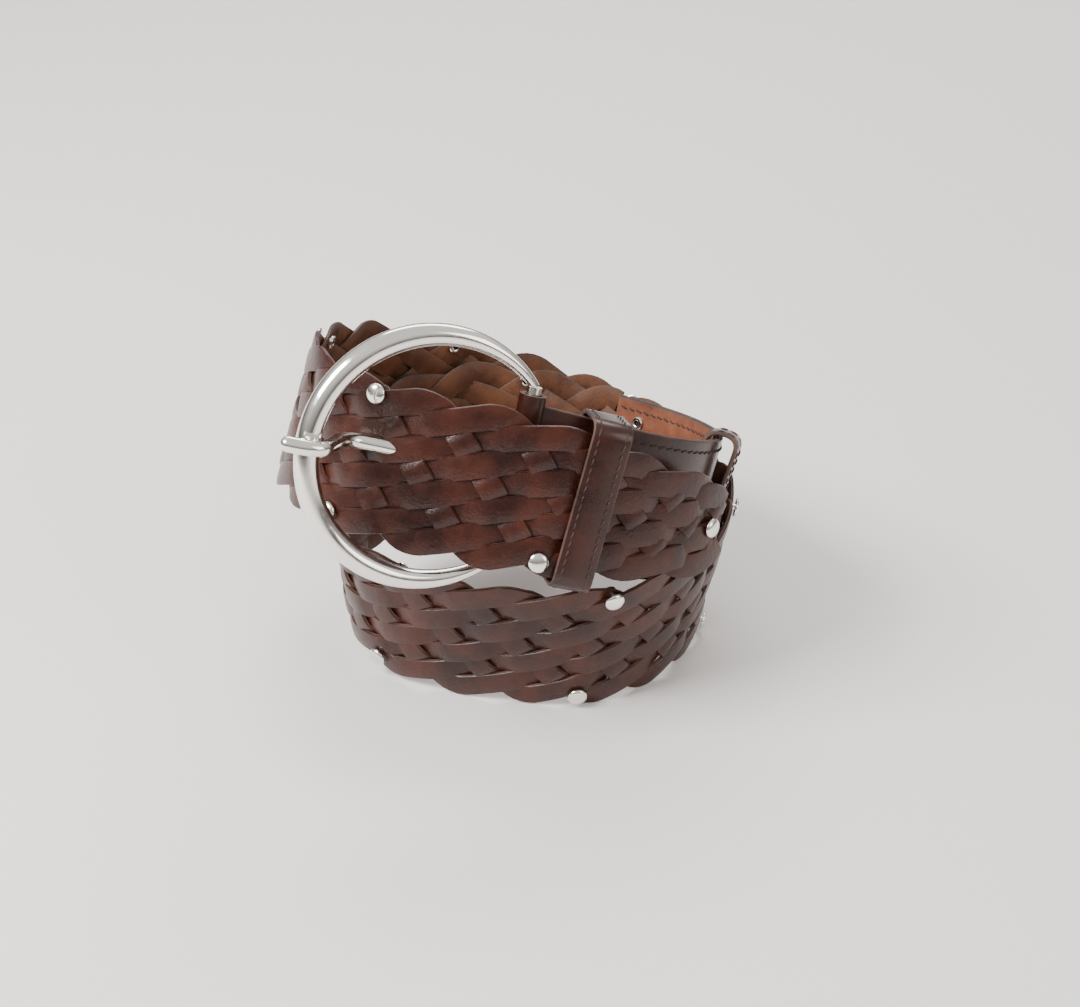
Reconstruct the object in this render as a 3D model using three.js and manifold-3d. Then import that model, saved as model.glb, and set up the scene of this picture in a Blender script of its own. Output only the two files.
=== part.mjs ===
// Braided leather belt, rolled up in two turns and fastened, as it lies on a table.
// Millimetres, +Z up. The front of the roll, with its buckle, faces -Y, and the floor is z = 0.
import * as THREE from "three";
import { mergeVertices } from "three/addons/utils/BufferGeometryUtils.js";
import Module from "manifold-3d";

const wasm = await Module();
wasm.setup();

// Strap
const strapWidth = 58;
const bandThickness = 3.6;
const braidPitch = 25;
const scallopDepth = 1.6;
const ribHeight = 0.35;
const braidLength = 775;
const tipTaper = 95;
const tipWidthShare = 0.62;
const tipRounding = 12;

// Plain buckle end, an outer leather and a lining
const chapeLength = 168;
const chapeThickness = 1.8;
const liningThickness = 1.2;
const chapeWidth = 52;
const endShoulder = 24;
const sleeveEnds = 2;
const slotRoom = 1.6;
const liningMargin = 0.4;
const liningSetback = 3;

// Buckle: an open ring with a straight bar across its gap
const ringDiameter = 92;
const wireDiameter = 8.4;
const hornPoint = 1.6;
const hornTaper = 62;
const gapAngle = 88;
const barDiameter = 5;
const ringHeight = 3;
const ringYaw = 11;
const prongDiameter = 5.4;
const prongOverhang = 2;
const eyeWire = 2.8;

// Keepers
const keeperWidth = 13.5;
const keeperThickness = 1.5;
const frontKeeperPlace = 883;
const frontKeeperSlack = 2.2;
const frontKeeperBackSlack = 2;
const sideKeeperPlace = 91;
const sideKeeperSlack = 5.5;
const keeperBackSlack = 1.6;
const keeperEdge = 1.2;
const keeperRound = 3;

// Rivets
const rivetCap = 7;
const rivetRise = 1.7;
const rivetPost = 2.6;
const rivetBack = 4.8;
const rivetInset = 6.5;
const rivetPitches = 3;
const firstLowRivet = 196;
const upperRivetShift = 10;
const rivetRows = 10;
const lapRivetPlace = 157;
const tipRivetInset = 9;

// Clearances
const gap = 0.3;
const sleeveGap = 0.4;

// The roll, seen from above: the turn in degrees, how far out the strap's middle is, how high its lower
// edge is and how far its top leans outwards in degrees. reach is a share of coilReach, lift of coilLift.
const coilReach = 75;
const coilLift = 75;
const turnStep = 30;
const startTurn = 272;
const rollSections = [
  { turn: 240, reach: 0.77, lift: 0.92, lean: -17 },
  { turn: 270, reach: 0.69, lift: 0.88, lean: -17 },
  { turn: 300, reach: 0.76, lift: 0.75, lean: -10 },
  { turn: 330, reach: 0.89, lift: 0.52, lean: 3 },
  { turn: 360, reach: 0.92, lift: 0.32, lean: 14 },
  { turn: 390, reach: 0.89, lift: 0.2, lean: 17 },
  { turn: 420, reach: 0.81, lift: 0.19, lean: 19 },
  { turn: 450, reach: 0.79, lift: 0.27, lean: 16 },
  { turn: 480, reach: 0.8, lift: 0.33, lean: 10 },
  { turn: 510, reach: 0.8, lift: 0.25, lean: 5 },
  { turn: 540, reach: 0.85, lift: 0.13, lean: 5 },
  { turn: 570, reach: 0.84, lift: 0.03, lean: 8 },
  { turn: 600, reach: 0.72, lift: -0.01, lean: 10 },
  { turn: 630, reach: 0.72, lift: -0.01, lean: 12 },
  { turn: 660, reach: 0.88, lift: -0.01, lean: 12 },
  { turn: 690, reach: 0.92, lift: -0.01, lean: 12 },
  { turn: 720, reach: 0.99, lift: -0.01, lean: 12 },
  { turn: 750, reach: 1.03, lift: 0.03, lean: 15 },
  { turn: 780, reach: 0.97, lift: 0.12, lean: 18 },
  { turn: 810, reach: 0.91, lift: 0.27, lean: 16 },
  { turn: 840, reach: 0.94, lift: 0.47, lean: 6 },
  { turn: 870, reach: 0.98, lift: 0.68, lean: -8 },
  { turn: 900, reach: 1.01, lift: 0.88, lean: -17 },
  { turn: 930, reach: 1.01, lift: 0.99, lean: -18 },
  { turn: 960, reach: 0.89, lift: 0.95, lean: -18 },
  { turn: 990, reach: 0.81, lift: 0.88, lean: -17 },
  { turn: 1020, reach: 0.95, lift: 0.75, lean: -12 },
  { turn: 1050, reach: 1.08, lift: 0.49, lean: -6 },
  { turn: 1080, reach: 1.14, lift: 0.27, lean: 4 },
];

const colours = {
  leather: new THREE.MeshStandardMaterial({ color: 0x55271d, roughness: 0.4 }),
  lining: new THREE.MeshStandardMaterial({ color: 0x9c5a42, roughness: 0.45 }),
  metal: new THREE.MeshStandardMaterial({ color: 0xd8d4cc, roughness: 0.12, metalness: 1 }),
};

const belt = new THREE.Group();
const rad = THREE.MathUtils.degToRad;

// A smooth value of one column at a turn: a cubic B-spline over the evenly spaced sections.
function section(turn, column) {
  const last = rollSections.length - 2;
  const place = (turn - rollSections[0].turn) / turnStep;
  const row = Math.min(Math.max(Math.floor(place), 1), last - 1);
  const t = place - row;
  const weights = [(1 - t) ** 3, 3 * t ** 3 - 6 * t * t + 4, -3 * t ** 3 + 3 * t * t + 3 * t + 1, t ** 3];
  return weights.reduce((sum, weight, k) => sum + (weight / 6) * rollSections[row - 1 + k][column], 0);
}

// The middle of the strap at a turn.
function middle(turn) {
  const reach = coilReach * section(turn, "reach");
  const lower = coilLift * section(turn, "lift");
  const lean = rad(section(turn, "lean"));
  const height = lower + (strapWidth / 2) * Math.cos(lean);
  return new THREE.Vector3(reach * Math.cos(rad(turn)), reach * Math.sin(rad(turn)), height);
}

// Lengths along the strap, a value for each degree of turn from the buckle bar.
const lastTurn = rollSections[rollSections.length - 2].turn;
const lengths = [0];
for (let turn = startTurn; turn < lastTurn; turn += 1) {
  lengths.push(lengths[lengths.length - 1] + middle(turn).distanceTo(middle(turn + 1)));
}

function turnAt(along) {
  let k = lengths.findIndex((length) => length > along);
  if (k < 0) k = lengths.length - 1;
  if (k < 1) k = 1;
  return startTurn + k - 1 + (along - lengths[k - 1]) / (lengths[k] - lengths[k - 1]);
}

// The strap's own axes at a length along it: forward, across towards its top edge, and out of the roll.
function axesAt(along) {
  const turn = turnAt(along);
  const origin = middle(turn);
  const forward = middle(turn + 0.5).sub(middle(turn - 0.5)).normalize();
  const out = new THREE.Vector3(forward.y, -forward.x, 0).normalize();
  const lean = rad(section(turn, "lean"));
  const across = new THREE.Vector3(0, 0, Math.cos(lean)).addScaledVector(out, Math.sin(lean));
  across.addScaledVector(forward, -across.dot(forward)).normalize();
  return { origin, forward, across, out: new THREE.Vector3().crossVectors(forward, across) };
}

// A point at a length along the strap, a height across it and an offset out of it.
function onStrap(along, up, offset) {
  const { origin, across, out } = axesAt(along);
  return origin.addScaledVector(across, up).addScaledVector(out, offset);
}

function matrixAt(along, up, offset) {
  const { forward, across, out } = axesAt(along);
  return new THREE.Matrix4().makeBasis(forward, across, out).setPosition(onStrap(along, up, offset));
}

// A closed body from rings of points, each ring the same length, with flat ends.
function skin(rings) {
  const size = rings[0].length;
  const points = rings.flat();
  const faces = [];
  for (let i = 0; i + 1 < rings.length; i += 1) {
    for (let k = 0; k < size; k += 1) {
      const a = i * size + k;
      const b = i * size + ((k + 1) % size);
      faces.push(a, b, a + size, b, b + size, a + size);
    }
  }
  for (const [ring, turned] of [[0, true], [rings.length - 1, false]]) {
    const centre = points.length;
    const mid = new THREE.Vector3();
    rings[ring].forEach((point) => mid.addScaledVector(point, 1 / size));
    points.push(mid);
    for (let k = 0; k < size; k += 1) {
      const a = ring * size + k;
      const b = ring * size + ((k + 1) % size);
      if (turned) faces.push(b, a, centre);
      else faces.push(a, b, centre);
    }
  }
  const geometry = new THREE.BufferGeometry();
  geometry.setAttribute("position", new THREE.Float32BufferAttribute(points.flatMap((p) => [p.x, p.y, p.z]), 3));
  geometry.setIndex(faces);
  return geometry;
}

// A wall that follows the strap. faces(along) gives {low, high, inner(share), outer(share)}.
function wall(stations, columns, faces) {
  return skin(stations.map((along) => {
    const { low, high, inner, outer } = faces(along);
    const ring = [];
    for (let k = 0; k <= columns; k += 1) {
      const share = k / columns;
      ring.push(onStrap(along, low + (high - low) * share, inner(share)));
    }
    for (let k = columns; k >= 0; k -= 1) {
      const share = k / columns;
      ring.push(onStrap(along, low + (high - low) * share, outer(share)));
    }
    return ring;
  }));
}

function evenly(from, to, step) {
  const count = Math.max(1, Math.round((to - from) / step));
  return Array.from({ length: count + 1 }, (_, k) => from + ((to - from) * k) / count);
}

// A round rod through a list of centres with a radius at each.
function rod(centres, radii, sides) {
  let side = new THREE.Vector3(0, 0, 1);
  const rings = centres.map((centre, k) => {
    const before = centres[Math.max(k - 1, 0)];
    const after = centres[Math.min(k + 1, centres.length - 1)];
    const ahead = after.clone().sub(before).normalize();
    side.addScaledVector(ahead, -side.dot(ahead)).normalize();
    side = side.clone();
    const other = new THREE.Vector3().crossVectors(ahead, side);
    return Array.from({ length: sides }, (_, j) => {
      const angle = (2 * Math.PI * j) / sides;
      return centre.clone()
        .addScaledVector(side, radii[k] * Math.cos(angle))
        .addScaledVector(other, radii[k] * Math.sin(angle));
    });
  });
  return skin(rings);
}

// Booleans
function toSolid(geometry) {
  const bare = geometry.clone();
  bare.deleteAttribute("normal");
  bare.deleteAttribute("uv");
  const merged = mergeVertices(bare, 1e-4);
  return new wasm.Manifold(new wasm.Mesh({
    numProp: 3,
    vertProperties: new Float32Array(merged.attributes.position.array),
    triVerts: new Uint32Array(merged.index.array),
  }));
}

function toGeometry(solid) {
  const mesh = solid.getMesh();
  const geometry = new THREE.BufferGeometry();
  geometry.setAttribute("position", new THREE.BufferAttribute(new Float32Array(mesh.vertProperties), 3));
  geometry.setIndex(new THREE.BufferAttribute(new Uint32Array(mesh.triVerts), 1));
  return geometry;
}

function subtractAll(solid, cutters) {
  return cutters.reduce((body, cutter) => body.subtract(toSolid(cutter)), solid);
}

function addPiece(name, geometry, material) {
  const mesh = new THREE.Mesh(geometry, material);
  mesh.name = name;
  belt.add(mesh);
}

// Places of the rivets: name, length along the strap, height across it and what they hold.
const beltEnd = chapeLength + braidLength;

function halfWidth(along) {
  const left = Math.max(beltEnd - along, 0);
  const taper = THREE.MathUtils.smoothstep(tipTaper - left, 0, tipTaper);
  const round = left < tipRounding ? Math.sqrt(1 - (1 - left / tipRounding) ** 2) : 1;
  const end = 0.35 + 0.65 * round;
  return (strapWidth / 2) * (1 - (1 - tipWidthShare) * taper) * end;
}

const rivets = [];
for (let k = 0; k < rivetRows; k += 1) {
  const lower = firstLowRivet + k * rivetPitches * braidPitch;
  const upper = lower + upperRivetShift;
  rivets.push({ name: `rivet_low_${k + 1}`, along: lower, up: rivetInset - halfWidth(lower), lap: 0 });
  if (Math.abs(upper - frontKeeperPlace) > keeperWidth) {
    rivets.push({ name: `rivet_up_${k + 1}`, along: upper, up: halfWidth(upper) - rivetInset, lap: 0 });
  }
}
rivets.push({ name: "rivet_tip", along: beltEnd - tipRivetInset, up: 0, lap: 0 });
for (const [name, side] of [["rivet_lap_low", -1], ["rivet_lap_up", 1]]) {
  rivets.push({ name, along: lapRivetPlace, up: side * (strapWidth / 2 - rivetInset - 5), lap: 1 });
}

// Half of what a rivet clamps: the band, or the two leathers of the buckle end.
const bandHalf = bandThickness / 2;
const chapeHalf = (chapeThickness + gap + liningThickness) / 2;

function rivetHalf(rivet) {
  return rivet.lap ? chapeHalf : bandHalf + ribHeight;
}

// A rivet: a domed cap outside, a post through the leather and a ring-shaped back.
function rivetGeometry(half) {
  const sides = 9;
  const seat = half + gap;
  const profile = [[0, seat + rivetRise]];
  for (const share of [0.5, 0.85]) {
    profile.push([(rivetCap / 2) * share, seat + rivetRise * Math.sqrt(1 - share * share)]);
  }
  profile.push([rivetCap / 2, seat], [rivetPost / 2, seat], [rivetPost / 2, -seat], [rivetBack / 2, -seat]);
  profile.push([rivetBack / 2 - 0.4, -seat - 0.9], [0, -seat - 0.9]);
  const turned = profile.reverse().map(([radius, height]) => new THREE.Vector2(radius, height));
  return new THREE.LatheGeometry(turned, sides).rotateX(Math.PI / 2);
}

function boreGeometry(half) {
  const bore = new THREE.CylinderGeometry(rivetPost / 2 + gap, rivetPost / 2 + gap, 2 * half + 6, 8);
  return bore.rotateX(Math.PI / 2);
}

// The buckle's own axes start at the bar, which lies in the start of the buckle end: x along the strap,
// y along the bar and z out of the ring, whose left side is turned outwards to lie on the strap.
const bandReach = bandHalf + ribHeight;
const ringRadius = (ringDiameter - wireDiameter) / 2;
const halfGap = rad(gapAngle / 2);
const ringFrame = matrixAt(0, ringHeight, 0).multiply(new THREE.Matrix4().makeRotationY(rad(ringYaw)));

function inRing(x, y, z) {
  return new THREE.Vector3(x, y, z).applyMatrix4(ringFrame);
}

function alongBar(radius, length, sides) {
  return new THREE.CylinderGeometry(radius, radius, length, sides).applyMatrix4(ringFrame);
}

// The ring: a wire bent round from one point of the gap to the other, thinning to a horn at each end.
const ringMiddle = -ringRadius * Math.cos(halfGap);
const ringSteps = 44;
const ringCentres = [];
const ringRadii = [];
for (let k = 0; k <= ringSteps; k += 1) {
  const angle = halfGap + ((2 * Math.PI - 2 * halfGap) * k) / ringSteps;
  ringCentres.push(inRing(ringMiddle + ringRadius * Math.cos(angle), ringRadius * Math.sin(angle), 0));
  const left = (Math.min(k, ringSteps - k) / ringSteps) * ringRadius * (2 * Math.PI - 2 * halfGap);
  const grown = Math.sin((Math.PI / 2) * Math.min(1, left / hornTaper));
  ringRadii.push(hornPoint + (wireDiameter / 2 - hornPoint) * grown);
}
const barLength = 2 * ringRadius * Math.sin(halfGap);
const ring = toSolid(rod(ringCentres, ringRadii, 10)).add(toSolid(alongBar(barDiameter / 2, barLength, 12)));
addPiece("buckle_ring", toGeometry(ring), colours.metal);

// The prong: an eye round the bar and a rod that runs behind the strap, up through the braid and over
// the ring's left side. side is the distance from the bar as a share of prongLength, rise one of ringSeat.
const prongRun = [
  { side: 0.05, rise: 0 },
  { side: 0.2, rise: -0.14 },
  { side: 0.4, rise: -0.68 },
  { side: 0.56, rise: -1.28 },
  { side: 0.66, rise: -1.4 },
  { side: 0.73, rise: -0.9 },
  { side: 0.78, rise: 0.2 },
  { side: 0.825, rise: 1.08 },
  { side: 0.88, rise: 1.3 },
  { side: 0.94, rise: 1.2 },
  { side: 1, rise: 0.95 },
];
const prongLength = ringDiameter - ringRadius * (1 - Math.cos(halfGap)) + prongOverhang;
const ringSeat = (wireDiameter + prongDiameter) / 2 + gap;
const prongPath = new THREE.CatmullRomCurve3(
  prongRun.map(({ side, rise }) => inRing(-prongLength * side, 0, ringSeat * rise)),
);
const prongCentres = prongPath.getSpacedPoints(24);

function prongRod(extra, sides) {
  const last = prongCentres.length - 1;
  const radii = prongCentres.map((_, k) => {
    const left = ((last - k) * prongPath.getLength()) / last;
    const dome = Math.sqrt(Math.min(1, Math.max(0.12, left / (prongDiameter / 2))));
    return (prongDiameter / 2) * (extra > 0 ? 1 : dome) + extra;
  });
  return rod(prongCentres, radii, sides);
}

const eyeMiddle = barDiameter / 2 + gap + eyeWire / 2;
const eye = new THREE.TorusGeometry(eyeMiddle, eyeWire / 2, 6, 14).rotateX(Math.PI / 2).applyMatrix4(ringFrame);
const barClearance = alongBar(barDiameter / 2 + gap, barLength, 16);
const prong = toSolid(prongRod(0, 10)).add(toSolid(eye)).subtract(toSolid(barClearance));
addPiece("prong", toGeometry(prong), colours.metal);

// The braided band: a woven wall with scalloped edges and low slanted ribs, cut for rivets and prong,
// and pressed flat where it lies on the floor.
function bandFaces(along) {
  const wave = (2 * Math.PI * along) / braidPitch;
  const half = halfWidth(along);
  const low = -half + (scallopDepth / 2) * (1 + Math.cos(wave));
  const high = half - (scallopDepth / 2) * (1 + Math.cos(wave + Math.PI));
  const rib = (share) => ribHeight * Math.sin(wave + 4 * Math.PI * share);
  return { low, high, outer: (share) => bandHalf + rib(share), inner: (share) => -bandHalf + rib(share) };
}

const floorSlab = new THREE.BoxGeometry(4 * coilReach, 4 * coilReach, 20).translate(0, 0, -10);
const bandStations = evenly(chapeLength, beltEnd, braidPitch / 4);
const bandCutters = rivets.filter((rivet) => !rivet.lap).map((rivet) => (
  boreGeometry(bandReach).applyMatrix4(matrixAt(rivet.along, rivet.up, 0))
));
bandCutters.push(prongRod(2 * gap, 10), floorSlab);
const band = subtractAll(toSolid(wall(bandStations, 6, bandFaces)), bandCutters);
addPiece("braided_band", toGeometry(band), colours.leather);

// The plain buckle end: the outer leather closes round the bar in a sleeve, with a slot for the prong's
// eye, and the lining backs it from there to the braid.
const sleeveInner = barDiameter / 2 + sleeveGap;
const sleeveOuter = sleeveInner + chapeThickness;
const sleeveLength = barLength - 2 * hornPoint - sleeveEnds;
const leatherFrom = -chapeHalf + liningThickness + gap;

function endHalfWidth(along) {
  return THREE.MathUtils.lerp(sleeveLength / 2, chapeWidth / 2, THREE.MathUtils.smoothstep(along, 0, endShoulder));
}

function plainWall(from, margin, inner, outer) {
  return wall(evenly(from, chapeLength - gap, 6), 1, (along) => ({
    low: margin - endHalfWidth(along), high: endHalfWidth(along) - margin, outer: () => outer, inner: () => inner,
  }));
}

const lapBores = rivets.filter((rivet) => rivet.lap).map((rivet) => (
  boreGeometry(chapeHalf).applyMatrix4(matrixAt(rivet.along, rivet.up, 0))
));
const slot = new THREE.BoxGeometry(4 * sleeveOuter, prongDiameter + slotRoom, 4 * sleeveOuter).applyMatrix4(ringFrame);
const chape = toSolid(plainWall(sleeveInner + chapeThickness / 2, 0, leatherFrom, chapeHalf))
  .add(toSolid(alongBar(sleeveOuter, sleeveLength, 20)));
addPiece("chape", toGeometry(subtractAll(chape, [
  alongBar(sleeveInner, barLength, 20), slot, ...lapBores,
])), colours.leather);
const lining = toSolid(plainWall(sleeveOuter + liningSetback, liningMargin, -chapeHalf, -chapeHalf + liningThickness));
addPiece("chape_lining", toGeometry(subtractAll(lining, [slot, ...lapBores])), colours.lining);

// Keepers: leather loops. Each is an outline in the strap's across and out directions, pushed along it.
function loopOutline(path, low, high, inside, foot, head) {
  const round = Math.min(keeperRound, (head - inside) / 3);
  path.moveTo(low + round, inside);
  path.lineTo(high - round, inside);
  path.quadraticCurveTo(high, inside, high, inside + round);
  path.lineTo(high, head - round);
  path.quadraticCurveTo(high, head, high - 2 * round, head);
  path.lineTo(low + round, foot);
  path.quadraticCurveTo(low, foot, low, foot - Math.min(round, (foot - inside) / 3));
  path.lineTo(low, inside + round);
  path.quadraticCurveTo(low, inside, low + round, inside);
  return path;
}

function keeper(name, place, low, high, inside, foot, head) {
  const t = keeperThickness;
  const shape = loopOutline(new THREE.Shape(), low - t, high + t, inside - t, foot + t, head + t);
  shape.holes.push(loopOutline(new THREE.Path(), low, high, inside, foot, head));
  const geometry = new THREE.ExtrudeGeometry(shape, { depth: keeperWidth, bevelEnabled: false, curveSegments: 4 });
  const { forward, across, out } = axesAt(place);
  const start = onStrap(place, 0, 0).addScaledVector(forward, -keeperWidth / 2);
  geometry.applyMatrix4(new THREE.Matrix4().makeBasis(across, out, forward).setPosition(start));
  addPiece(name, toGeometry(toSolid(geometry)), colours.leather);
}

const endBehind = middle(turnAt(frontKeeperPlace) - 720).applyMatrix4(matrixAt(frontKeeperPlace, 0, 0).invert());
const frontLow = Math.min(-halfWidth(frontKeeperPlace), endBehind.y - chapeWidth / 2) - keeperEdge;
const frontHigh = Math.max(halfWidth(frontKeeperPlace), endBehind.y + chapeWidth / 2) + keeperEdge;
const frontInside = endBehind.z - chapeHalf - frontKeeperBackSlack;
const frontOutside = bandReach + frontKeeperSlack;
keeper("keeper_front", frontKeeperPlace, frontLow, frontHigh, frontInside, frontOutside, frontOutside);
const endHalf = chapeWidth / 2 + keeperEdge;
keeper("keeper_side", sideKeeperPlace, -endHalf, endHalf, -chapeHalf - keeperBackSlack,
  chapeHalf + keeperBackSlack, chapeHalf + sideKeeperSlack);

for (const rivet of rivets) {
  const geometry = rivetGeometry(rivetHalf(rivet));
  geometry.applyMatrix4(matrixAt(rivet.along, rivet.up, 0));
  addPiece(rivet.name, toGeometry(toSolid(geometry)), colours.metal);
}

// The origin is at the bottom centre of the whole roll.
const bounds = new THREE.Box3().setFromObject(belt);
belt.position.set(-(bounds.min.x + bounds.max.x) / 2, -(bounds.min.y + bounds.max.y) / 2, -bounds.min.z);

export default belt;
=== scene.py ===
import math
import random

import bpy
from mathutils import Matrix, Vector


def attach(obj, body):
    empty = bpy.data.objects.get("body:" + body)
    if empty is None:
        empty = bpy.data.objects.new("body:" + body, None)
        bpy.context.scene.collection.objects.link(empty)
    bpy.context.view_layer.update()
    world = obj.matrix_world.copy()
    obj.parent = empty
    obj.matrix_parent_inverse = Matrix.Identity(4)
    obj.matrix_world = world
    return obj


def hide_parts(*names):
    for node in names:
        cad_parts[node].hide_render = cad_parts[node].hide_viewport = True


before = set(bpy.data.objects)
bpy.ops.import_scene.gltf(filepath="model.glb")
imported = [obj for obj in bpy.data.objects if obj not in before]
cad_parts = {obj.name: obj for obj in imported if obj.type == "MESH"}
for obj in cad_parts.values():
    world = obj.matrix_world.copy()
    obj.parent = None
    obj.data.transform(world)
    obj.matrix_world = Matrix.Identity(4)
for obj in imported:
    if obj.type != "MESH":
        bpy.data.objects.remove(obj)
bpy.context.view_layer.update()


# The viewpoint: a camera 0.8 m from the roll, 30 degrees above the table, square to the buckle.
# It looks a little above the middle of the roll, at the height where the ring's lower half is.
view_target = Vector((0.01105, 0.00012, 0.052))
camera_data = bpy.data.cameras.new("camera")
camera_data.lens = 73
camera_data.sensor_width = 36
camera = bpy.data.objects.new("camera", camera_data)
camera.location = view_target + Vector((0, -0.6928, 0.4))
camera.rotation_euler = (view_target - camera.location).to_track_quat("-Z", "Y").to_euler()
bpy.context.scene.collection.objects.link(camera)
bpy.context.scene.camera = camera


# The table and the daylight: a plain pale floor, a soft window high on the left, a fill from the right,
# a window behind, and a room that is pale above and dark at the horizon, which the nickel mirrors.
floor_mesh = bpy.data.meshes.new("floor")
floor_mesh.from_pydata([(-4, -4, 0), (4, -4, 0), (4, 4, 0), (-4, 4, 0)], [], [(0, 1, 2, 3)])
floor = bpy.data.objects.new("floor", floor_mesh)
bpy.context.scene.collection.objects.link(floor)
floor_material = bpy.data.materials.new("pale_table")
floor_material.use_nodes = True
floor_shader = floor_material.node_tree.nodes["Principled BSDF"]
floor_shader.inputs["Base Color"].default_value = (0.86, 0.83, 0.815, 1)
floor_shader.inputs["Roughness"].default_value = 0.85
floor_mesh.materials.append(floor_material)


belt_middle = Vector((0, 0, 0.06))


def soft_light(name, place, size, power, colour):
    lamp = bpy.data.lights.new(name, "AREA")
    lamp.shape = "RECTANGLE"
    lamp.size = size[0]
    lamp.size_y = size[1]
    lamp.energy = power
    lamp.color = colour
    holder = bpy.data.objects.new(name, lamp)
    holder.location = place
    aim = belt_middle - Vector(place)
    holder.rotation_euler = aim.to_track_quat("-Z", "Y").to_euler()
    bpy.context.scene.collection.objects.link(holder)


soft_light("window_left", place=(-0.75, -0.35, 0.85), size=(0.6, 0.45), power=21, colour=(1.0, 0.99, 0.97))
soft_light("fill_right", place=(0.9, -0.6, 0.6), size=(0.6, 0.6), power=4, colour=(1.0, 0.94, 0.88))
soft_light("window_back", place=(0.1, 1.0, 1.1), size=(1.2, 0.5), power=12, colour=(1.0, 0.98, 0.97))
room = bpy.data.worlds.new("room")
room.use_nodes = True
sky = room.node_tree.nodes["Background"]
sky_direction = room.node_tree.nodes.new("ShaderNodeTexCoord")
sky_height = room.node_tree.nodes.new("ShaderNodeSeparateXYZ")
sky_bands = room.node_tree.nodes.new("ShaderNodeValToRGB")
sky_bands.color_ramp.elements[0].position = 0.05
sky_bands.color_ramp.elements[0].color = (0.16, 0.15, 0.145, 1)
sky_bands.color_ramp.elements[1].position = 0.55
sky_bands.color_ramp.elements[1].color = (1.0, 0.98, 0.96, 1)
room.node_tree.links.new(sky_direction.outputs["Generated"], sky_height.inputs["Vector"])
room.node_tree.links.new(sky_height.outputs["Z"], sky_bands.inputs["Fac"])
room.node_tree.links.new(sky_bands.outputs["Color"], sky.inputs["Color"])
sky.inputs["Strength"].default_value = 0.9
bpy.context.scene.world = room


# The plain buckle end: a smooth strip of brown leather that closes round the buckle's bar in a sleeve,
# with a slot there for the prong. It is cut from hide, with its edges rounded and stained grey-brown.
# Everything else on the belt is placed by the roll that this strip starts: two turns and a part.
millimetre = 0.001
roll_shift = Vector((1.049015, 0.122097, 0))
strap_width = 58
chape_length = 168
braid_length = 775
belt_end = chape_length + braid_length
coil_reach = 75
coil_lift = 75
turn_step = 30
start_turn = 272
first_section_turn = 240
roll_reach = (
    0.77, 0.69, 0.76, 0.89, 0.92, 0.89, 0.81, 0.79, 0.8, 0.8, 0.85, 0.84, 0.72, 0.72, 0.88,
    0.92, 0.99, 1.03, 0.97, 0.91, 0.94, 0.98, 1.01, 1.01, 0.89, 0.81, 0.95, 1.08, 1.14,
)
roll_lift = (
    0.92, 0.88, 0.75, 0.52, 0.32, 0.2, 0.19, 0.27, 0.33, 0.25, 0.13, 0.03, -0.01, -0.01, -0.01,
    -0.01, -0.01, 0.03, 0.12, 0.27, 0.47, 0.68, 0.88, 0.99, 0.95, 0.88, 0.75, 0.49, 0.27,
)
roll_lean = (
    -17, -17, -10, 3, 14, 17, 19, 16, 10, 5, 5, 8, 10, 12, 12,
    12, 12, 15, 18, 16, 6, -8, -17, -18, -18, -17, -12, -6, 4,
)


def section(turn, column):
    """A smooth value of one column at a turn: a cubic B-spline over the evenly spaced sections."""
    last = len(column) - 2
    place = (turn - first_section_turn) / turn_step
    row = min(max(math.floor(place), 1), last - 1)
    t = place - row
    weights = ((1 - t) ** 3, 3 * t ** 3 - 6 * t * t + 4, -3 * t ** 3 + 3 * t * t + 3 * t + 1, t ** 3)
    return sum(weight / 6 * column[row - 1 + k] for k, weight in enumerate(weights))


def middle(turn):
    """The middle of the strap at a turn, in millimetres."""
    reach = coil_reach * section(turn, roll_reach)
    lean = math.radians(section(turn, roll_lean))
    height = coil_lift * section(turn, roll_lift) + strap_width / 2 * math.cos(lean)
    angle = math.radians(turn)
    return Vector((reach * math.cos(angle), reach * math.sin(angle), height))


last_turn = first_section_turn + turn_step * (len(roll_reach) - 2)
run_lengths = [0.0]
for degree in range(start_turn, last_turn):
    run_lengths.append(run_lengths[-1] + (middle(degree + 1) - middle(degree)).length)


def turn_at(along):
    k = next((i for i, length in enumerate(run_lengths) if length > along), len(run_lengths) - 1)
    k = max(k, 1)
    share = (along - run_lengths[k - 1]) / (run_lengths[k] - run_lengths[k - 1])
    return start_turn + k - 1 + share


def axes_at(along):
    """The strap's middle there, and its directions forward, across to its top edge and out of the roll."""
    turn = turn_at(along)
    forward = (middle(turn + 0.5) - middle(turn - 0.5)).normalized()
    out = Vector((forward.y, -forward.x, 0)).normalized()
    lean = math.radians(section(turn, roll_lean))
    across = Vector((0, 0, math.cos(lean))) + out * math.sin(lean)
    across = (across - forward * across.dot(forward)).normalized()
    return middle(turn), forward, across, forward.cross(across)


spare_length = 12
axes_by_length = [axes_at(length) for length in range(-spare_length, belt_end + spare_length)]


def on_strap(along, up, offset):
    """A point at a length along the strap, a height across it and an offset out of it, in millimetres."""
    place = min(max(along + spare_length, 0), len(axes_by_length) - 1.001)
    k = int(place)
    share = place - k
    points = []
    for origin, _, across, out in axes_by_length[k:k + 2]:
        points.append(origin + across * up + out * offset)
    return points[0].lerp(points[1], share)


def frame_at(along, up, offset):
    """A matrix whose x runs forward, y across and z out of the strap."""
    _, forward, across, out = axes_at(along)
    turned = Matrix((forward, across, out)).transposed().to_4x4()
    return Matrix.Translation(on_strap(along, up, offset)) @ turned


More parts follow.
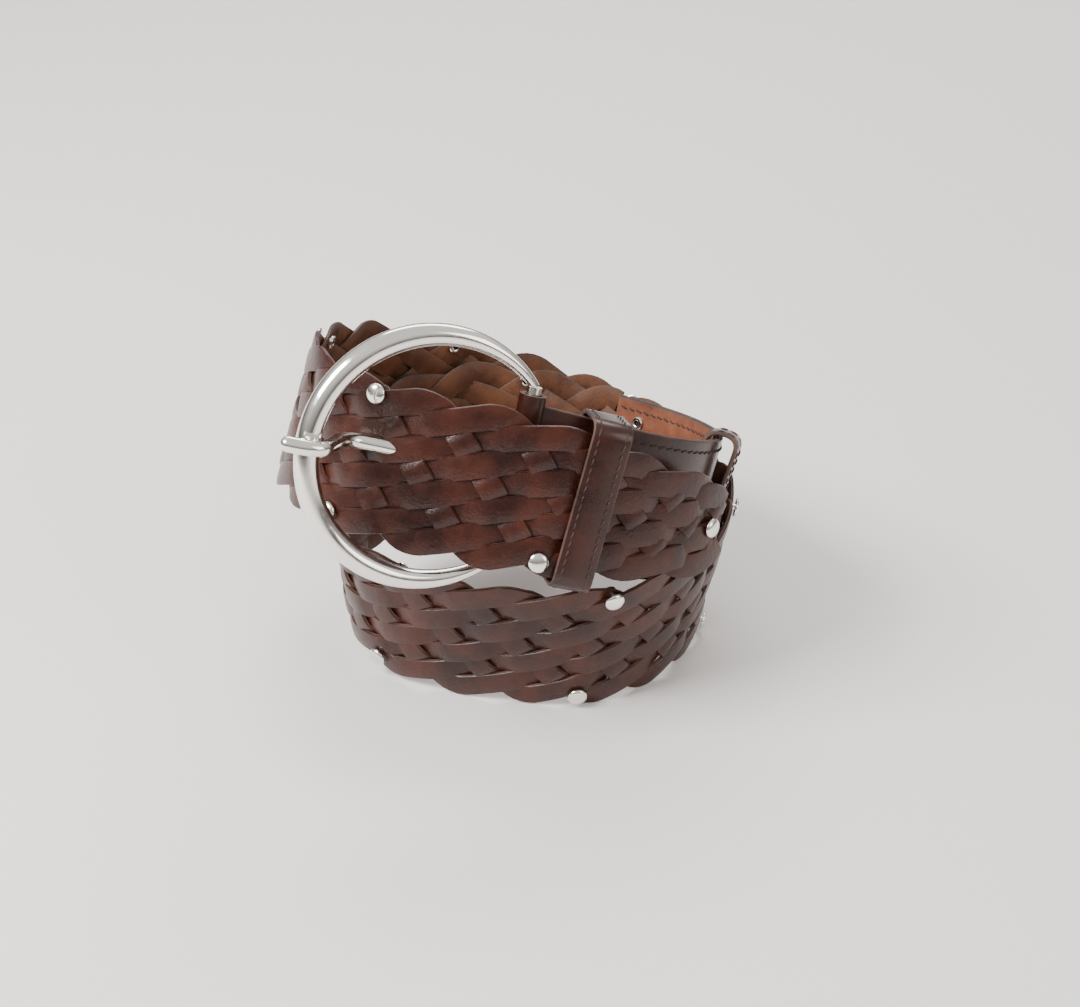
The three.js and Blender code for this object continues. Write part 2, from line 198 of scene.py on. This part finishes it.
def swept(rings, closed=False):
    """Points and faces of a skin over rings of points. Open skins get flat ends."""
    size = len(rings[0])
    points = [point for ring in rings for point in ring]
    faces = []
    count = len(rings)
    for i in range(count if closed else count - 1):
        here = i * size
        there = ((i + 1) % count) * size
        for k in range(size):
            following = (k + 1) % size
            faces.append((here + k, here + following, there + following, there + k))
    if not closed:
        faces.append(tuple(reversed(range(size))))
        faces.append(tuple(range((count - 1) * size, count * size)))
    return points, faces


crease_angle = math.radians(40)
lowest_point = 0.00005


def make_piece(name, points, faces, materials, face_materials=None):
    """An object from points in the belt's own millimetres, pressed flat at the floor, on the belt's body."""
    mesh = bpy.data.meshes.new(name)
    placed = [(point + roll_shift) * millimetre for point in points]
    mesh.from_pydata([(p.x, p.y, max(p.z, lowest_point)) for p in placed], [], faces)
    for material in materials:
        mesh.materials.append(material)
    if face_materials:
        mesh.polygons.foreach_set("material_index", face_materials)
    mesh.polygons.foreach_set("use_smooth", [True] * len(mesh.polygons))
    piece = bpy.data.objects.new(name, mesh)
    bpy.context.scene.collection.objects.link(piece)
    mesh.update()
    mesh.set_sharp_from_angle(angle=crease_angle)
    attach(piece, "root")
    return piece


def effect_group(name, inputs, outputs):
    """An empty shader node group with number sockets, and its input and output nodes."""
    group = bpy.data.node_groups.new(name, "ShaderNodeTree")
    for label, value in inputs:
        socket = group.interface.new_socket(label, in_out="INPUT", socket_type="NodeSocketFloat")
        socket.default_value = value
    for label in outputs:
        group.interface.new_socket(label, in_out="OUTPUT", socket_type="NodeSocketFloat")
    return group, group.nodes.new("NodeGroupInput"), group.nodes.new("NodeGroupOutput")


# Grain of finished hide: fine pebbles broken by creases, with slow blotches of darker and redder dye.
grain, grain_in, grain_out = effect_group(
    "hide_grain", (("Pebble Scale", 900.0), ("Blotch Scale", 70.0)), ("Height", "Blotch"))
grain_place = grain.nodes.new("ShaderNodeTexCoord")
pebbles = grain.nodes.new("ShaderNodeTexVoronoi")
creases = grain.nodes.new("ShaderNodeTexNoise")
creases.inputs["Detail"].default_value = 6
crease_scale = grain.nodes.new("ShaderNodeMath")
crease_scale.operation = "MULTIPLY"
crease_scale.inputs[1].default_value = 0.3
blotches = grain.nodes.new("ShaderNodeTexNoise")
blotches.inputs["Detail"].default_value = 5
blotches.inputs["Roughness"].default_value = 0.62
grain_sum = grain.nodes.new("ShaderNodeMath")
grain_sum.operation = "MULTIPLY_ADD"
grain_sum.inputs[1].default_value = 0.45
blotch_range = grain.nodes.new("ShaderNodeMapRange")
blotch_range.inputs["From Min"].default_value = 0.36
blotch_range.inputs["From Max"].default_value = 0.66
for texture in (pebbles, creases, blotches):
    grain.links.new(grain_place.outputs["Object"], texture.inputs["Vector"])
grain.links.new(grain_in.outputs["Pebble Scale"], pebbles.inputs["Scale"])
grain.links.new(grain_in.outputs["Pebble Scale"], crease_scale.inputs[0])
grain.links.new(crease_scale.outputs[0], creases.inputs["Scale"])
grain.links.new(grain_in.outputs["Blotch Scale"], blotches.inputs["Scale"])
grain.links.new(pebbles.outputs["Distance"], grain_sum.inputs[0])
grain.links.new(creases.outputs["Fac"], grain_sum.inputs[2])
grain.links.new(grain_sum.outputs[0], grain_out.inputs["Height"])
grain.links.new(blotches.outputs["Fac"], blotch_range.inputs["Value"])
grain.links.new(blotch_range.outputs["Result"], grain_out.inputs["Blotch"])


def hide(name, dark, light, gloss, pebble_scale, relief, coat=0.0):
    """Leather: two dye tones in blotches, roughness between the two gloss values, and grain relief."""
    material = bpy.data.materials.new(name)
    material.use_nodes = True
    tree = material.node_tree
    shader = tree.nodes["Principled BSDF"]
    surface = tree.nodes.new("ShaderNodeGroup")
    surface.node_tree = grain
    surface.inputs["Pebble Scale"].default_value = pebble_scale
    tones = tree.nodes.new("ShaderNodeMix")
    tones.data_type = "RGBA"
    tones.inputs["A"].default_value = dark
    tones.inputs["B"].default_value = light
    shine = tree.nodes.new("ShaderNodeMapRange")
    shine.inputs["To Min"].default_value = gloss[0]
    shine.inputs["To Max"].default_value = gloss[1]
    bump = tree.nodes.new("ShaderNodeBump")
    bump.inputs["Strength"].default_value = relief
    bump.inputs["Distance"].default_value = 0.0002
    tree.links.new(surface.outputs["Blotch"], tones.inputs["Factor"])
    tree.links.new(tones.outputs["Result"], shader.inputs["Base Color"])
    tree.links.new(surface.outputs["Blotch"], shine.inputs["Value"])
    tree.links.new(shine.outputs["Result"], shader.inputs["Roughness"])
    tree.links.new(surface.outputs["Height"], bump.inputs["Height"])
    tree.links.new(bump.outputs["Normal"], shader.inputs["Normal"])
    shader.inputs["Specular IOR Level"].default_value = 0.4
    shader.inputs["Coat Weight"].default_value = coat
    shader.inputs["Coat Roughness"].default_value = 0.22
    return material


smooth_hide = hide(
    "smooth_hide", dark=(0.018, 0.0038, 0.0026, 1), light=(0.038, 0.0080, 0.0040, 1),
    gloss=(0.26, 0.34), pebble_scale=1500.0, relief=0.25, coat=0.1)
cut_edge = hide(
    "cut_edge", dark=(0.032, 0.017, 0.014, 1), light=(0.11, 0.064, 0.048, 1),
    gloss=(0.55, 0.7), pebble_scale=2500.0, relief=0.6)

chape_width = 52
chape_thickness = 1.8
lining_thickness = 1.2
clearance = 0.3
end_shoulder = 24
chape_half = (chape_thickness + clearance + lining_thickness) / 2
ring_diameter = 92
wire_diameter = 8.4
gap_angle = 88
horn_point = 1.6
bar_diameter = 5
ring_radius = (ring_diameter - wire_diameter) / 2
half_gap = math.radians(gap_angle / 2)
bar_length = 2 * ring_radius * math.sin(half_gap)
sleeve_inner = bar_diameter / 2 + 0.4
sleeve_outer = sleeve_inner + chape_thickness
sleeve_length = bar_length - 2 * horn_point - 2
slot_width = 7.0
ring_height = 3
ring_yaw = 11
ring_frame = frame_at(0, ring_height, 0) @ Matrix.Rotation(math.radians(ring_yaw), 4, "Y")


def smoothstep(value, low, high):
    t = min(max((value - low) / (high - low), 0), 1)
    return t * t * (3 - 2 * t)


def end_half_width(along):
    return sleeve_length / 2 + (chape_width / 2 - sleeve_length / 2) * smoothstep(along, 0, end_shoulder)


def strip_ring(low, high, inner, outer, bevel, place):
    """The outline of a strip with softened edges. place(up, offset) puts each point."""
    outline = [
        (low + bevel, outer), ((low + high) / 2, outer), (high - bevel, outer),
        (high - 0.3 * bevel, outer - 0.3 * bevel), (high, outer - bevel), (high, inner + bevel),
        (high - bevel, inner), ((low + high) / 2, inner), (low + bevel, inner),
        (low, inner + bevel), (low, outer - bevel), (low + 0.3 * bevel, outer - 0.3 * bevel),
    ]
    return [place(up, offset) for up, offset in outline]


strip_edges = (0, 0, 1, 1, 1, 1, 0, 0, 1, 1, 1, 1)
chape_bevel = 0.45
chape_steps = 106
chape_start = sleeve_inner + chape_thickness / 2
chape_run = chape_length - clearance - chape_start
chape_rings = []
for step in range(chape_steps + 1):
    length = chape_start + chape_run * step / chape_steps
    half = end_half_width(length)
    chape_rings.append(strip_ring(-half, half, chape_half - chape_thickness, chape_half, chape_bevel,
                                  lambda up, offset: on_strap(length, up, offset)))
chape_points, chape_faces = swept(chape_rings)
chape_marks = list(strip_edges) * (len(chape_rings) - 1) + [1, 1]
sleeve_steps = 32
for side in (-1, 1):
    near = side * slot_width / 2
    far = side * sleeve_length / 2
    sleeve_rings = []
    for step in range(sleeve_steps):
        angle = 2 * math.pi * step / sleeve_steps
        ring = []
        wall_corners = ((sleeve_outer, near), (sleeve_outer, far), (sleeve_inner, far), (sleeve_inner, near))
        for radius, y in wall_corners:
            ring.append(ring_frame @ Vector((radius * math.cos(angle), y, -radius * math.sin(angle))))
        sleeve_rings.append(ring if side > 0 else ring[::-1])
    sleeve_points, sleeve_faces = swept(sleeve_rings, closed=True)
    first = len(chape_points)
    chape_points += sleeve_points
    chape_faces += [tuple(first + k for k in face) for face in sleeve_faces]
    chape_marks += [0, 1, 0, 1] * sleeve_steps
chape = make_piece("chape_leather", chape_points, chape_faces, [smooth_hide, cut_edge], chape_marks)
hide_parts("chape")


# The lining of the buckle end: thinner glazed calf in a reddish tan, glued and sewn behind the strip.
# It stops just short of the bar's sleeve and of the first plait.
glazed_tan = hide(
    "glazed_tan", dark=(0.14, 0.046, 0.026, 1), light=(0.27, 0.10, 0.058, 1),
    gloss=(0.24, 0.38), pebble_scale=1200.0, relief=0.45, coat=0.3)
lining_start = sleeve_outer + 3
lining_margin = 0.4
lining_bevel = 0.3
lining_steps = 105
lining_rings = []
for step in range(lining_steps + 1):
    length = lining_start + (chape_length - clearance - lining_start) * step / lining_steps
    half = end_half_width(length) - lining_margin
    lining_rings.append(strip_ring(-half, half, -chape_half, lining_thickness - chape_half, lining_bevel,
                                   lambda up, offset: on_strap(length, up, offset)))
lining_points, lining_faces = swept(lining_rings)
lining = make_piece("chape_lining_calf", lining_points, lining_faces, [glazed_tan, cut_edge],
                    list(strip_edges) * (len(lining_rings) - 1) + [1, 1])
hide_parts("chape_lining")


# The seam of the buckle end: waxed dark thread in a lockstitch near both long edges, right through
# the strip and its lining. Each stitch dips at both ends and slants a little, as a saddle stitch does.
waxed_thread = hide(
    "waxed_thread", dark=(0.022, 0.010, 0.008, 1), light=(0.06, 0.032, 0.024, 1),
    gloss=(0.5, 0.65), pebble_scale=3000.0, relief=0.6)
stitch_pitch = 3.6
stitch_gap = 0.7
stitch_slant = 0.35
seam_start = 30.0
seam_inset = 4
thread_radius = 0.32
thread_sides = 6
stitch_profile = ((0, -0.35, 0.7), (0.12, 0.2, 1), (0.5, 0.34, 1.1), (0.88, 0.2, 1), (1, -0.35, 0.7))


def stitch(points, faces, start, end, rise, radius=thread_radius):
    """Adds one stitch from start to end that lies on the leather and dips into it at both ends."""
    ahead = (end - start).normalized()
    side = ahead.cross(rise).normalized()
    rings = []
    for share, lift, size in stitch_profile:
        centre = start.lerp(end, share) + rise * (lift * radius / thread_radius)
        ring = []
        for k in range(thread_sides):
            angle = 2 * math.pi * k / thread_sides
            ring.append(centre + (side * math.cos(angle) + rise * math.sin(angle)) * (radius * size))
        rings.append(ring)
    more_points, more_faces = swept(rings)
    first = len(points)
    points += more_points
    faces += [tuple(first + k for k in face) for face in more_faces]


seam_points = []
seam_faces = []
for face_side, surface in ((1, chape_half), (-1, -chape_half)):
    for edge_side in (-1, 1):
        length = seam_start
        while length < chape_length - seam_inset:
            up = edge_side * (end_half_width(length) - seam_inset)
            _, _, _, out = axes_at(length)
            start = on_strap(length, up - stitch_slant, surface)
            end = on_strap(length + stitch_pitch - stitch_gap, up + stitch_slant, surface)
            stitch(seam_points, seam_faces, start, end, out * face_side)
            length += stitch_pitch
seam = make_piece("chape_seam", seam_points, seam_faces, [waxed_thread])


# The braid: eight flat strips of the same hide, cut about 9 mm wide, plaited in a slanted plain weave.
# Each strip climbs the strap in a long shallow run, turns at the top edge and drops back in a short
# steep one, passing over and under the others in turn, so both edges of the strap are scalloped.
braid_hide = hide(
    "braid_hide", dark=(0.019, 0.0038, 0.0024, 1), light=(0.058, 0.0118, 0.0048, 1),
    gloss=(0.29, 0.38), pebble_scale=1000.0, relief=0.6)
flesh_side = hide(
    "flesh_side", dark=(0.055, 0.017, 0.007, 1), light=(0.135, 0.048, 0.018, 1),
    gloss=(0.5, 0.7), pebble_scale=1500.0, relief=0.8)
strand_count = 8
braid_pitch = 25
strand_width = 8.9
strand_thickness = 1.6
climb_share = 0.775
first_low_turn = 22
weave_height = 0.98
tip_taper = 95
tip_width_share = 0.62
tip_rounding = 12
corner_window = 7.0
corner_samples = (-1, -0.6, -0.2, 0.2, 0.6, 1)
corner_gain = 1.03
edge_overhang = 0.4
least_reach = 0.6
crown_flatness = 1.6
strand_step = 2.0
strand_start = chape_length + 0.4
strand_end = belt_end - 1.5


def half_width(along):
    left = max(belt_end - along, 0)
    taper = smoothstep(tip_taper - left, 0, tip_taper)
    rounding = math.sqrt(1 - (1 - left / tip_rounding) ** 2) if left < tip_rounding else 1
    return strap_width / 2 * (1 - (1 - tip_width_share) * taper) * (0.35 + 0.65 * rounding)


def run_share(place):
    """The height of a strip at its place in the cycle, from -1 at the lower edge to 1 at the upper."""
    place %= 1
    if place < climb_share:
        return 2 * place / climb_share - 1
    return 1 - 2 * (place - climb_share) / (1 - climb_share)


def weave_phase(place):
    """The over and under of a strip at its place: 1 is over, -1 is under."""
    place %= 1
    edge = 1 / 8
    if place < climb_share:
        f = place / climb_share
        climbing = True
    else:
        f = (place - climb_share) / (1 - climb_share)
        climbing = False
    if f < edge:
        phase = math.pi / 2 + (math.pi / 2) * f / edge
    elif f > 1 - edge:
        phase = 7 * math.pi + (math.pi / 2) * (f - 1 + edge) / edge
    else:
        phase = 8 * math.pi * f
    wave = -math.cos(phase)
    if not climbing:
        wave = -wave
    return math.tanh(crown_flatness * wave) / math.tanh(crown_flatness)


def strand_place(k, along):
    """The height and offset of a strip's middle at a length along the strap."""
    cycle = strand_count * braid_pitch
    total = 0
    for part in corner_samples:
        shifted = (along - first_low_turn + part * corner_window) / cycle + k / strand_count
        total += run_share(shifted)
    reach = max(half_width(along) - strand_width / 2 + edge_overhang, least_reach)
    lift = weave_phase((along - first_low_turn) / cycle + k / strand_count)
    return reach * total / len(corner_samples) * corner_gain, weave_height * lift


strand_outline = (
    (-0.47, 0.34), (-0.25, 0.5), (0.25, 0.5), (0.47, 0.34), (0.5, 0.1),
    (0.5, -0.36), (0.46, -0.5), (-0.46, -0.5), (-0.5, -0.36), (-0.5, 0.1),
)
strand_marks = (0, 0, 0, 0, 1, 1, 2, 1, 1, 0)
braid_points = []
braid_faces = []
braid_marks = []
for k in range(strand_count):
    shape = random.Random(k)
    width = strand_width * shape.uniform(0.96, 1.03)
    spine = []
    length = strand_start
    while length < strand_end:
        up, offset = strand_place(k, length)
        spine.append((length, up, offset))
        ahead_up, _ = strand_place(k, length + 0.5)
        slope = (ahead_up - up) / 0.5
        length += strand_step / math.sqrt(1 + slope * slope)
    rings = []
    for i, (length, up, offset) in enumerate(spine):
        before = spine[max(i - 1, 0)]
        after = spine[min(i + 1, len(spine) - 1)]
        ahead = (on_strap(*after) - on_strap(*before)).normalized()
        _, _, _, out = axes_at(length)
        side = out.cross(ahead).normalized()
        rise = ahead.cross(side)
        centre = on_strap(length, up, offset)
        ring = []
        for x, z in strand_outline:
            ring.append(centre + side * (width * x) + rise * (strand_thickness * z))
        rings.append(ring)
    more_points, more_faces = swept(rings)
    first = len(braid_points)
    braid_points += more_points
    braid_faces += [tuple(first + j for j in face) for face in more_faces]
    braid_marks += list(strand_marks) * (len(rings) - 1) + [1, 1]
braid_materials = [braid_hide, cut_edge, flesh_side]
braid = make_piece("braid_strands", braid_points, braid_faces, braid_materials, braid_marks)
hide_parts("braided_band")


# The buckle: a nickel-plated wire bent into an open ring, thinned to a horn at each end of its gap,
# with a straight bar across the gap for the leather sleeve. Polished bright, with faint handling marks.
marks_group, marks_in, marks_out = effect_group("handling_marks", (("Scale", 260.0),), ("Smudge", "Height"))
marks_place = marks_group.nodes.new("ShaderNodeTexCoord")
smudges = marks_group.nodes.new("ShaderNodeTexNoise")
smudges.inputs["Detail"].default_value = 7
scratches = marks_group.nodes.new("ShaderNodeTexNoise")
scratches.inputs["Scale"].default_value = 1800
stretch = marks_group.nodes.new("ShaderNodeMapping")
stretch.inputs["Scale"].default_value = (1, 0.08, 1)
marks_group.links.new(marks_place.outputs["Object"], smudges.inputs["Vector"])
marks_group.links.new(marks_place.outputs["Object"], stretch.inputs["Vector"])
marks_group.links.new(stretch.outputs["Vector"], scratches.inputs["Vector"])
marks_group.links.new(marks_in.outputs["Scale"], smudges.inputs["Scale"])
marks_group.links.new(smudges.outputs["Fac"], marks_out.inputs["Smudge"])
marks_group.links.new(scratches.outputs["Fac"], marks_out.inputs["Height"])


def plated_metal(name, colour, gloss, relief=0.03):
    material = bpy.data.materials.new(name)
    material.use_nodes = True
    tree = material.node_tree
    shader = tree.nodes["Principled BSDF"]
    shader.inputs["Base Color"].default_value = colour
    shader.inputs["Metallic"].default_value = 1
    surface = tree.nodes.new("ShaderNodeGroup")
    surface.node_tree = marks_group
    shine = tree.nodes.new("ShaderNodeMapRange")
    shine.inputs["From Min"].default_value = 0.3
    shine.inputs["From Max"].default_value = 0.7
    shine.inputs["To Min"].default_value = gloss[0]
    shine.inputs["To Max"].default_value = gloss[1]
    bump = tree.nodes.new("ShaderNodeBump")
    bump.inputs["Strength"].default_value = relief
    bump.inputs["Distance"].default_value = 0.0001
    tree.links.new(surface.outputs["Smudge"], shine.inputs["Value"])
    tree.links.new(shine.outputs["Result"], shader.inputs["Roughness"])
    tree.links.new(surface.outputs["Height"], bump.inputs["Height"])
    tree.links.new(bump.outputs["Normal"], shader.inputs["Normal"])
    return material


bright_nickel = plated_metal("bright_nickel", (0.86, 0.83, 0.78, 1), (0.07, 0.2))


def in_ring(x, y, z):
    return ring_frame @ Vector((x, y, z))


def round_rod(centres, radii, sides):
    """Rings of points round a line of centres, for swept."""
    side = Vector((0, 0, 1))
    rings = []
    for k, centre in enumerate(centres):
        before = centres[max(k - 1, 0)]
        after = centres[min(k + 1, len(centres) - 1)]
        ahead = (after - before).normalized()
        side = (side - ahead * side.dot(ahead)).normalized()
        other = ahead.cross(side)
        ring = []
        for j in range(sides):
            angle = 2 * math.pi * j / sides
            ring.append(centre + (side * math.cos(angle) + other * math.sin(angle)) * radii[k])
        rings.append(ring)
    return rings


horn_taper = 62
ring_middle = -ring_radius * math.cos(half_gap)
ring_steps = 160
ring_sides = 28
bar_steps = 20
bar_sides = 20
ring_arc = 2 * math.pi - 2 * half_gap
ring_centres = []
ring_radii = []
for k in range(ring_steps + 1):
    angle = half_gap + ring_arc * k / ring_steps
    across_gap = ring_middle + ring_radius * math.cos(angle)
    ring_centres.append(in_ring(across_gap, ring_radius * math.sin(angle), 0))
    left = min(k, ring_steps - k) / ring_steps * ring_radius * ring_arc
    grown = math.sin(math.pi / 2 * min(1, left / horn_taper))
    ring_radii.append(horn_point + (wire_diameter / 2 - horn_point) * grown)
ring_points, ring_faces = swept(round_rod(ring_centres, ring_radii, ring_sides))
bar_centres = [in_ring(0, bar_length * (k / bar_steps - 0.5), 0) for k in range(bar_steps + 1)]
bar_points, bar_faces = swept(round_rod(bar_centres, [bar_diameter / 2] * (bar_steps + 1), bar_sides))
first = len(ring_points)
ring_points += bar_points
ring_faces += [tuple(first + k for k in face) for face in bar_faces]
buckle = make_piece("buckle_wire", ring_points, ring_faces, [bright_nickel])
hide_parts("buckle_ring")


# The prong: a nickel rod bent into an eye round the bar. It runs behind the strap, comes up between
# two strips of the braid and lies over the ring's left side, with a domed end.
prong_diameter = 5.4
prong_overhang = 2
prong_sides = 22
curve_steps = 10
dome_steps = 8
dome_last = 7.2
eye_wire = 2.8
eye_steps = 36
eye_sides = 14
prong_run = (
    (0.05, 0), (0.2, -0.14), (0.4, -0.68), (0.56, -1.28), (0.66, -1.4), (0.73, -0.9),
    (0.78, 0.2), (0.825, 1.08), (0.88, 1.3), (0.94, 1.2), (1, 0.95),
)
prong_length = ring_diameter - ring_radius * (1 - math.cos(half_gap)) + prong_overhang
ring_seat = (wire_diameter + prong_diameter) / 2 + clearance
prong_stops = [in_ring(-prong_length * side, 0, ring_seat * rise) for side, rise in prong_run]


def curve_through(stops, steps):
    """Points on a smooth curve through the stops, the given number of steps between each two."""
    points = []
    for i in range(len(stops) - 1):
        a = stops[max(i - 1, 0)]
        b = stops[i]
        c = stops[i + 1]
        d = stops[min(i + 2, len(stops) - 1)]
        for j in range(steps):
            t = j / steps
            points.append(0.5 * (2 * b + (c - a) * t + (2 * a - 5 * b + 4 * c - d) * t * t
                                 + (3 * b - a - 3 * c + d) * t ** 3))
    return points + [stops[-1]]


prong_centres = curve_through(prong_stops, curve_steps)
prong_left = [0.0]
for before, after in zip(prong_centres[::-1], prong_centres[-2::-1]):
    prong_left.append(prong_left[-1] + (after - before).length)
prong_left.reverse()
dome_centres = []
dome_radii = []
for centre, left in zip(prong_centres, prong_left):
    if left > prong_diameter / 2:
        dome_centres.append(centre)
        dome_radii.append(prong_diameter / 2)
end_direction = (prong_centres[-1] - prong_centres[-4]).normalized()
dome_base = prong_centres[-1] - end_direction * (prong_diameter / 2)
for k in range(dome_steps):
    angle = math.pi / 2 * k / dome_last
    dome_centres.append(dome_base + end_direction * (prong_diameter / 2 * math.sin(angle)))
    dome_radii.append(prong_diameter / 2 * math.cos(angle))
prong_points, prong_faces = swept(round_rod(dome_centres, dome_radii, prong_sides))
eye_middle = bar_diameter / 2 + clearance + eye_wire / 2
eye_rings = []
for k in range(eye_steps):
    angle = 2 * math.pi * k / eye_steps
    ring = []
    for j in range(eye_sides):
        turn = 2 * math.pi * j / eye_sides
        radius = eye_middle + eye_wire / 2 * math.cos(turn)
        height = eye_wire / 2 * math.sin(turn)
        ring.append(in_ring(radius * math.cos(angle), height, radius * math.sin(angle)))
    eye_rings.append(ring)
eye_points, eye_faces = swept(eye_rings, closed=True)
first = len(prong_points)
prong_points += eye_points
prong_faces += [tuple(first + k for k in face) for face in eye_faces]
prong = make_piece("prong_rod", prong_points, prong_faces, [bright_nickel])
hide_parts("prong")


# The keepers: two loops of the same smooth hide, edges rounded and stained, sewn along both edges.
# The front one holds the strap down on the buckle end; the side one hangs free round the buckle end.
keeper_width = 13.5
keeper_thickness = 1.5
keeper_round = 4.5
keeper_edge = 1.2
keeper_bevel = 0.4
corner_steps = 8
side_steps = 12
keeper_seam_inset = 2.2
keeper_stitch = 2.5
keeper_pitch = 3.2
keeper_slant = 0.25
keeper_thread = 0.26
front_place = 883
front_slack = 2.2
front_back_slack = 2
side_place = 91
side_slack = 5.5
side_back_slack = 1.6
band_reach = 2.15


def loop_path(low, high, inside, foot, head):
    """Points and outward normals round a keeper's loop, in the strap's across and out directions."""
    corners = [(low, inside), (high, inside), (high, head), (low, foot)]
    points = []
    count = len(corners)
    for i, (x, y) in enumerate(corners):
        before = Vector(corners[i - 1])
        here = Vector((x, y))
        after = Vector(corners[(i + 1) % count])
        rounding = min(keeper_round, (before - here).length / 2.2, (after - here).length / 2.2)
        start = here + (before - here).normalized() * rounding
        end = here + (after - here).normalized() * rounding
        for j in range(corner_steps + 1):
            t = j / corner_steps
            points.append(start * (1 - t) ** 2 + here * (2 * t * (1 - t)) + end * t * t)
        for j in range(1, side_steps):
            t = j / side_steps
            points.append(end.lerp(after + (here - after).normalized() * rounding, t))
    normals = []
    for i in range(len(points)):
        along = points[(i + 1) % len(points)] - points[i - 1]
        normals.append(Vector((along.y, -along.x)).normalized())
    return points, normals


def keeper_loop(name, node, place, low, high, inside, foot, head):
    origin, forward, across, out = axes_at(place)
    path, normals = loop_path(low, high, inside, foot, head)
    rings = []
    for (y, z), normal in zip(path, normals):
        here = origin + across * y + out * z
        away = across * normal.x + out * normal.y
        rings.append(strip_ring(-keeper_width / 2, keeper_width / 2, 0, keeper_thickness, keeper_bevel,
                                lambda up, offset: here + forward * up + away * offset))
    points, faces = swept(rings, closed=True)
    marks = list(strip_edges) * len(rings)
    seams = len(points)
    seam_points = []
    seam_faces = []
    total = [0.0]
    for a, b in zip(path, path[1:] + path[:1]):
        total.append(total[-1] + (Vector(b) - Vector(a)).length)
    for edge_side in (-1, 1):
        seam_place = edge_side * (keeper_width / 2 - keeper_seam_inset)
        length = 0.0
        while length < total[-1] - keeper_stitch - 0.1:
            ends = []
            for at, slant in ((length, keeper_slant), (length + keeper_stitch, -keeper_slant)):
                i = next(j for j in range(len(path)) if total[j + 1] >= at)
                share = (at - total[i]) / (total[i + 1] - total[i])
                spot = Vector(path[i]).lerp(Vector(path[(i + 1) % len(path)]), share)
                normal = normals[i]
                away = across * normal.x + out * normal.y
                ends.append(origin + across * spot.x + out * spot.y + away * keeper_thickness
                            + forward * (seam_place + slant))
            stitch(seam_points, seam_faces, ends[0], ends[1], away, keeper_thread)
            length += keeper_pitch
    faces += [tuple(seams + k for k in face) for face in seam_faces]
    marks += [2] * len(seam_faces)
    piece = make_piece(name, points + seam_points, faces, [smooth_hide, cut_edge, waxed_thread], marks)
    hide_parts(node)


front_frame = frame_at(front_place, 0, 0)
end_behind = front_frame.inverted() @ middle(turn_at(front_place) - 720)
front_low = min(-half_width(front_place), end_behind.y - chape_width / 2) - keeper_edge
front_high = max(half_width(front_place), end_behind.y + chape_width / 2) + keeper_edge
keeper_loop("keeper_front_loop", "keeper_front", front_place, front_low, front_high,
            end_behind.z - chape_half - front_back_slack, band_reach + front_slack, band_reach + front_slack)
side_half = chape_width / 2 + keeper_edge
keeper_loop("keeper_side_loop", "keeper_side", side_place, -side_half, side_half,
            -chape_half - side_back_slack, chape_half + side_back_slack, chape_half + side_slack)


# The rivets: nickel-plated caps with a low dome, each pressed on a post that comes through the leather
# into a ring-shaped back. Two rows along the braid, one at the tip and two where the plain end laps it.
rivet_nickel = plated_metal("rivet_nickel", (0.84, 0.82, 0.77, 1), (0.1, 0.26))
# The hollow in each rivet's back, its inner wall and floor, is coloured near-black: painted shade for the
# dark inside the hollow, not a colour of the metal.
hollow_painted_shade = plated_metal("hollow_painted_shade", (0.05, 0.045, 0.04, 1), (0.4, 0.6))
cap_radius = 3.5
cap_rise = 1.7
post_radius = 1.3
back_radius = 2.4
back_height = 0.9
rivet_sides = 24
dome_rows = 8
rim_height = 0.25
rivet_inset = 6.5
rivet_rows = 10
first_low_rivet = 196
rivet_spacing = 3 * braid_pitch
upper_shift = 10
tip_inset = 9
lap_place = 157
lap_up = strap_width / 2 - rivet_inset - 5
rivet_spots = []
for k in range(rivet_rows):
    lower = first_low_rivet + rivet_spacing * k
    rivet_spots.append((f"rivet_low_{k + 1}", lower, rivet_inset - half_width(lower), band_reach))
    if k < rivet_rows - 1:
        upper = lower + upper_shift
        rivet_spots.append((f"rivet_up_{k + 1}", upper, half_width(upper) - rivet_inset, band_reach))
rivet_spots.append(("rivet_tip", belt_end - tip_inset, 0, band_reach))
rivet_spots.append(("rivet_lap_low", lap_place, -lap_up, chape_half))
rivet_spots.append(("rivet_lap_up", lap_place, lap_up, chape_half))
for name, along, up, half in rivet_spots:
    seat = half + clearance
    back = -seat - back_height
    profile = [(0.25, seat + cap_rise)]
    for k in range(1, dome_rows + 1):
        angle = math.pi / 2 * k / dome_rows
        height = seat + rim_height + (cap_rise - rim_height) * math.cos(angle)
        profile.append((cap_radius * math.sin(angle), height))
    profile += [(cap_radius, seat), (cap_radius - 0.3, seat - 0.12), (post_radius, seat - 0.12)]
    profile += [(post_radius, -seat), (back_radius, -seat), (back_radius, -seat - back_height / 2)]
    profile += [(back_radius - 0.4, back), (1.35, back), (1.1, back + 0.15), (0.9, -seat - 0.1)]
    place = frame_at(along, up, 0)
    rings = []
    for radius, height in profile:
        ring = []
        for j in range(rivet_sides):
            angle = 2 * math.pi * j / rivet_sides
            ring.append(place @ Vector((radius * math.cos(angle), radius * math.sin(angle), height)))
        rings.append(ring[::-1])
    points, faces = swept(rings)
    marks = [0] * len(faces)
    # The last band and the end disc line the hollow in the rivet's back and take the near-black
    # painted-shade material.
    marks[-1] = 1
    for k in range(rivet_sides):
        marks[rivet_sides * (len(rings) - 2) + k] = 1
    rivet = make_piece(name + "_cap", points, faces, [rivet_nickel, hollow_painted_shade], marks)
    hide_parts(name)
